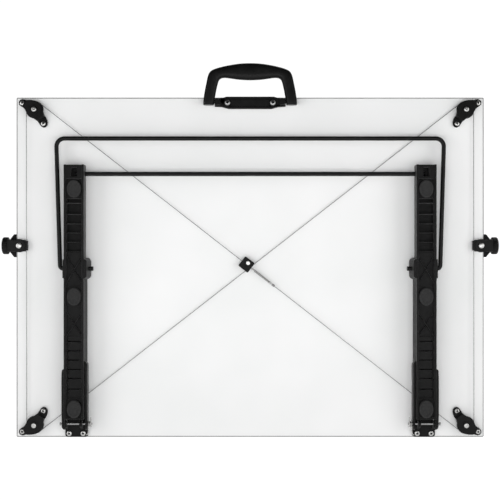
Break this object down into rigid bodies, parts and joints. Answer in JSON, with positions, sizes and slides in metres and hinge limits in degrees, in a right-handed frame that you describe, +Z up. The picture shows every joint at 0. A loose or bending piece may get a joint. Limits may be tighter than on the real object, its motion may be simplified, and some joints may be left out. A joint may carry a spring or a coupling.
{
  "type": "portable drawing board",
  "caption": "Portable drawing board with a wire-guided parallel ruler, a fold-down carrying handle and a folding two-legged stand with a bent-rod prop.",
  "frame": {"origin": "centre of the board's lower edge face, halfway through its thickness", "axes": "+X along the board's length, to the right when its back is seen; +Y out of the drawing side; +Z up towards the handle"},
  "size_m": [0.7, 0.063, 0.5186],
  "materials": {
    "board_face": "white melamine facing, satin",
    "board_edge": "grey plastic edge band",
    "black_plastic": "fine grained moulding",
    "zinc_plated_steel": "bright zinc plate",
    "bare_steel": "satin",
    "rubber": "matte",
    "black_rod": "black satin paint",
    "ruler_spine": "black anodised",
    "clear_acrylic": "clear, polished"
  },
  "bodies": {
    "board": {"board_panel": "board_face", "edge_band": "board_edge", "cover_top_left": "black_plastic", "cover_top_right": "black_plastic", "cover_bottom_left": "black_plastic", "cover_bottom_right": "black_plastic", "axle_top_left": "zinc_plated_steel", "axle_top_right": "zinc_plated_steel", "axle_bottom_left": "zinc_plated_steel", "axle_bottom_right": "zinc_plated_steel", "cover_screw_top_left_1": "zinc_plated_steel", "cover_screw_top_left_2": "zinc_plated_steel", "cover_screw_top_right_1": "zinc_plated_steel", "cover_screw_top_right_2": "zinc_plated_steel", "cover_screw_bottom_left_1": "zinc_plated_steel", "cover_screw_bottom_left_2": "zinc_plated_steel", "cover_screw_bottom_right_1": "zinc_plated_steel", "cover_screw_bottom_right_2": "zinc_plated_steel", "drive_wire": "bare_steel", "handle_base": "black_plastic", "handle_screw_left": "zinc_plated_steel", "handle_screw_right": "zinc_plated_steel", "hinge_bracket_left": "black_plastic", "hinge_bracket_right": "black_plastic", "hinge_screw_left_inner": "zinc_plated_steel", "hinge_screw_left_outer": "zinc_plated_steel", "hinge_screw_right_inner": "zinc_plated_steel", "hinge_screw_right_outer": "zinc_plated_steel", "hinge_pin_left": "zinc_plated_steel", "hinge_pin_right": "zinc_plated_steel", "torsion_spring_left": "zinc_plated_steel", "torsion_spring_right": "zinc_plated_steel"},
    "leg_frame": {"leg_beam_left": "black_plastic", "leg_beam_right": "black_plastic", "rubber_foot_left_lower": "rubber", "rubber_foot_left_middle": "rubber", "rubber_foot_left_upper": "rubber", "rubber_foot_right_lower": "rubber", "rubber_foot_right_middle": "rubber", "rubber_foot_right_upper": "rubber", "cross_rod": "black_rod"},
    "prop": {"prop_bail": "black_rod"},
    "handle": {"handle_grip": "black_plastic"},
    "ruler": {"ruler_blade": "clear_acrylic", "ruler_spine": "ruler_spine", "ruler_head_left": "black_plastic", "ruler_head_right": "black_plastic", "clamp_screw_left": "zinc_plated_steel", "clamp_screw_right": "zinc_plated_steel"},
    "knob_left": {"lock_knob_left": "black_plastic"},
    "knob_right": {"lock_knob_right": "black_plastic"},
    "pulley_top_left": {"pulley_top_left": "black_plastic"},
    "pulley_top_right": {"pulley_top_right": "black_plastic"},
    "pulley_bottom_left": {"pulley_bottom_left": "black_plastic"},
    "pulley_bottom_right": {"pulley_bottom_right": "black_plastic"},
    "tensioner": {"tension_block": "black_plastic", "tension_screw": "zinc_plated_steel", "tension_spring": "bare_steel", "wire_ferrule": "bare_steel"}
  },
  "joints": [
    {"name": "leg_hinge", "type": "hinge", "parent": "board", "child": "leg_frame", "pos_m": [0, -0.024, 0.0204], "axis": [1, 0, 0], "range_deg": [0, 38], "stiffness_Nm_per_rad": 0.35, "springref_deg": -60.16},
    {"name": "prop_hinge", "type": "hinge", "parent": "leg_frame", "child": "prop", "pos_m": [0, -0.0245, 0.2344], "axis": [-1, 0, 0], "range_deg": [0, 84.1]},
    {"name": "handle_hinge", "type": "hinge", "parent": "board", "child": "handle", "pos_m": [0, -0.017, 0.4656], "axis": [1, 0, 0], "range_deg": [0, 90]},
    {"name": "ruler_slide", "type": "slide", "parent": "board", "child": "ruler", "axis": [0, 0, 1], "range_m": [-0.222, 0.165]},
    {"name": "knob_left_turn", "type": "hinge", "parent": "ruler", "child": "knob_left", "pos_m": [-0.3458, 0, 0.266], "axis": [1, 0, 0], "range_deg": [-90, 90]},
    {"name": "knob_right_turn", "type": "hinge", "parent": "ruler", "child": "knob_right", "pos_m": [0.3458, 0, 0.266], "axis": [1, 0, 0], "range_deg": [-90, 90]},
    {"name": "pulley_top_left_turn", "type": "hinge", "parent": "board", "child": "pulley_top_left", "pos_m": [-0.2989, -0.0147, 0.4546], "axis": [0, 1, 0], "continuous": true},
    {"name": "pulley_top_right_turn", "type": "hinge", "parent": "board", "child": "pulley_top_right", "pos_m": [0.2989, -0.012, 0.4546], "axis": [0, 1, 0], "continuous": true},
    {"name": "pulley_bottom_left_turn", "type": "hinge", "parent": "board", "child": "pulley_bottom_left", "pos_m": [-0.2989, -0.012, 0.0174], "axis": [0, 1, 0], "continuous": true},
    {"name": "pulley_bottom_right_turn", "type": "hinge", "parent": "board", "child": "pulley_bottom_right", "pos_m": [0.2989, -0.0147, 0.0174], "axis": [0, 1, 0], "continuous": true},
    {"name": "tensioner_slide", "type": "slide", "parent": "board", "child": "tensioner", "axis": [0.7886, 0, -0.6149], "range_m": [-0.222, 0.165]}
  ],
  "couplings": [
    {"joint": "prop_hinge", "follows": "leg_hinge", "ratio": 2.2124},
    {"joint": "pulley_top_left_turn", "follows": "ruler_slide", "rad_per_m": 87.719},
    {"joint": "pulley_top_right_turn", "follows": "ruler_slide", "rad_per_m": -87.719},
    {"joint": "pulley_bottom_left_turn", "follows": "ruler_slide", "rad_per_m": 87.719},
    {"joint": "pulley_bottom_right_turn", "follows": "ruler_slide", "rad_per_m": -87.719},
    {"joint": "tensioner_slide", "follows": "ruler_slide", "ratio": 1}
  ]
}
